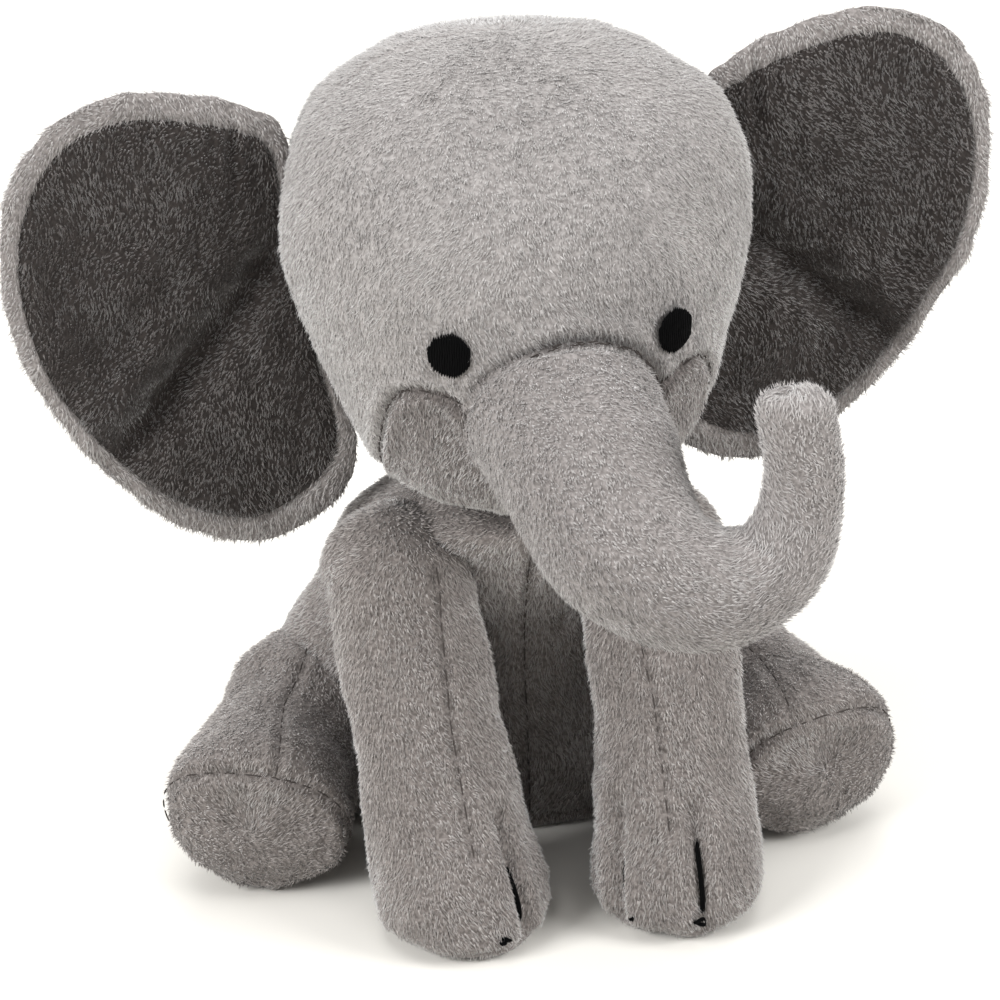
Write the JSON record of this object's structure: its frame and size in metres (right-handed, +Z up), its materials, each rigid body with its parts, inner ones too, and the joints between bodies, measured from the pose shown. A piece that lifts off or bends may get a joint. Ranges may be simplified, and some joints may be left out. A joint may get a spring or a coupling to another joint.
{
  "type": "stuffed elephant",
  "caption": "Seated plush elephant with wide ears, a curled-up trunk, dangling front legs, stub hind legs and a flat seat.",
  "frame": {"origin": "centre of the seat panel's flat face, on the floor", "axes": "+Z up, the toy faces -Y, its own left side is +X"},
  "size_m": [0.2483, 0.226, 0.228],
  "materials": {
    "light_plush": "short pile",
    "body_plush": "short pile",
    "cheek_plush": "short pile",
    "ear_plush": "short pile",
    "wadding": "loose fibre",
    "black_thread": "satin thread"
  },
  "bodies": {
    "torso": {"torso_side_left": "body_plush", "torso_side_right": "body_plush", "seat_panel": "body_plush", "torso_stuffing": "wadding"},
    "neck": {"neck_stuffing": "wadding"},
    "head": {"face_panel": "light_plush", "head_back_panel": "light_plush", "chin_panel": "cheek_plush", "head_stuffing": "wadding", "eye_left": "black_thread", "eye_right": "black_thread", "trunk_root_cover": "body_plush", "trunk_root_stuffing": "wadding"},
    "trunk_middle": {"trunk_middle_cover": "light_plush", "trunk_middle_stuffing": "wadding"},
    "trunk_tip": {"trunk_tip_cover": "light_plush", "trunk_tip_stuffing": "wadding", "trunk_end_disc": "light_plush"},
    "tail": {"tail": "body_plush"},
    "ear_left": {"ear_back_left": "light_plush", "ear_lining_left": "ear_plush", "ear_batting_left": "wadding"},
    "front_leg_left": {"front_leg_cover_left": "body_plush", "front_sole_left": "body_plush", "front_leg_stuffing_left": "wadding", "toe_stitch_inner_left": "black_thread", "toe_stitch_outer_left": "black_thread"},
    "hind_leg_left": {"hind_leg_cover_left": "body_plush", "hind_sole_left": "body_plush", "hind_leg_stuffing_left": "wadding"},
    "ear_right": {"ear_back_right": "light_plush", "ear_lining_right": "ear_plush", "ear_batting_right": "wadding"},
    "front_leg_right": {"front_leg_cover_right": "body_plush", "front_sole_right": "body_plush", "front_leg_stuffing_right": "wadding", "toe_stitch_inner_right": "black_thread", "toe_stitch_outer_right": "black_thread"},
    "hind_leg_right": {"hind_leg_cover_right": "body_plush", "hind_sole_right": "body_plush", "hind_leg_stuffing_right": "wadding"}
  },
  "joints": [
    {"name": "head_nod", "type": "hinge", "parent": "torso", "child": "neck", "pos_m": [0, -0.036, 0.109], "axis": [1, 0, 0], "range_deg": [-7, 7], "stiffness_Nm_per_rad": 1.5},
    {"name": "head_turn", "type": "hinge", "parent": "neck", "child": "head", "pos_m": [0, -0.036, 0.109], "axis": [0, 0, 1], "range_deg": [-25, 20], "stiffness_Nm_per_rad": 0.6},
    {"name": "trunk_lift", "type": "hinge", "parent": "head", "child": "trunk_middle", "pos_m": [0.01392, -0.13057, 0.13011], "axis": [0.9968, 0.0802, 0], "range_deg": [-16, 16], "stiffness_Nm_per_rad": 0.12},
    {"name": "trunk_curl", "type": "hinge", "parent": "trunk_middle", "child": "trunk_tip", "pos_m": [0.04183, -0.14017, 0.12234], "axis": [0.0802, -0.9968, 0], "range_deg": [-16, 16], "stiffness_Nm_per_rad": 0.06},
    {"name": "ear_flap_left", "type": "hinge", "parent": "head", "child": "ear_left", "pos_m": [0.0506, -0.02892, 0.166], "axis": [0.1053, 0.0085, 0.9944], "range_deg": [-15, 15], "stiffness_Nm_per_rad": 0.05},
    {"name": "front_leg_swing_left", "type": "hinge", "parent": "torso", "child": "front_leg_left", "pos_m": [0.033, -0.051, 0.088], "axis": [-1, 0, 0], "range_deg": [0, 40], "stiffness_Nm_per_rad": 0.25},
    {"name": "hind_leg_lift_left", "type": "hinge", "parent": "torso", "child": "hind_leg_left", "pos_m": [0.057, -0.011, 0.0288], "axis": [-0.9067, -0.4217, 0], "range_deg": [0, 12], "stiffness_Nm_per_rad": 0.25},
    {"name": "ear_flap_right", "type": "hinge", "parent": "head", "child": "ear_right", "pos_m": [-0.05108, -0.0371, 0.166], "axis": [-0.1053, -0.0085, 0.9944], "range_deg": [-15, 15], "stiffness_Nm_per_rad": 0.05},
    {"name": "front_leg_swing_right", "type": "hinge", "parent": "torso", "child": "front_leg_right", "pos_m": [-0.033, -0.051, 0.088], "axis": [-1, 0, 0], "range_deg": [0, 40], "stiffness_Nm_per_rad": 0.25},
    {"name": "hind_leg_lift_right", "type": "hinge", "parent": "torso", "child": "hind_leg_right", "pos_m": [-0.057, -0.011, 0.0288], "axis": [-0.9067, 0.4217, 0], "range_deg": [0, 12], "stiffness_Nm_per_rad": 0.25},
    {"name": "tail_swing", "type": "hinge", "parent": "torso", "child": "tail", "pos_m": [0, 0.052, 0.034], "axis": [0, 1, 0], "range_deg": [-15, 15], "stiffness_Nm_per_rad": 0.01}
  ]
}
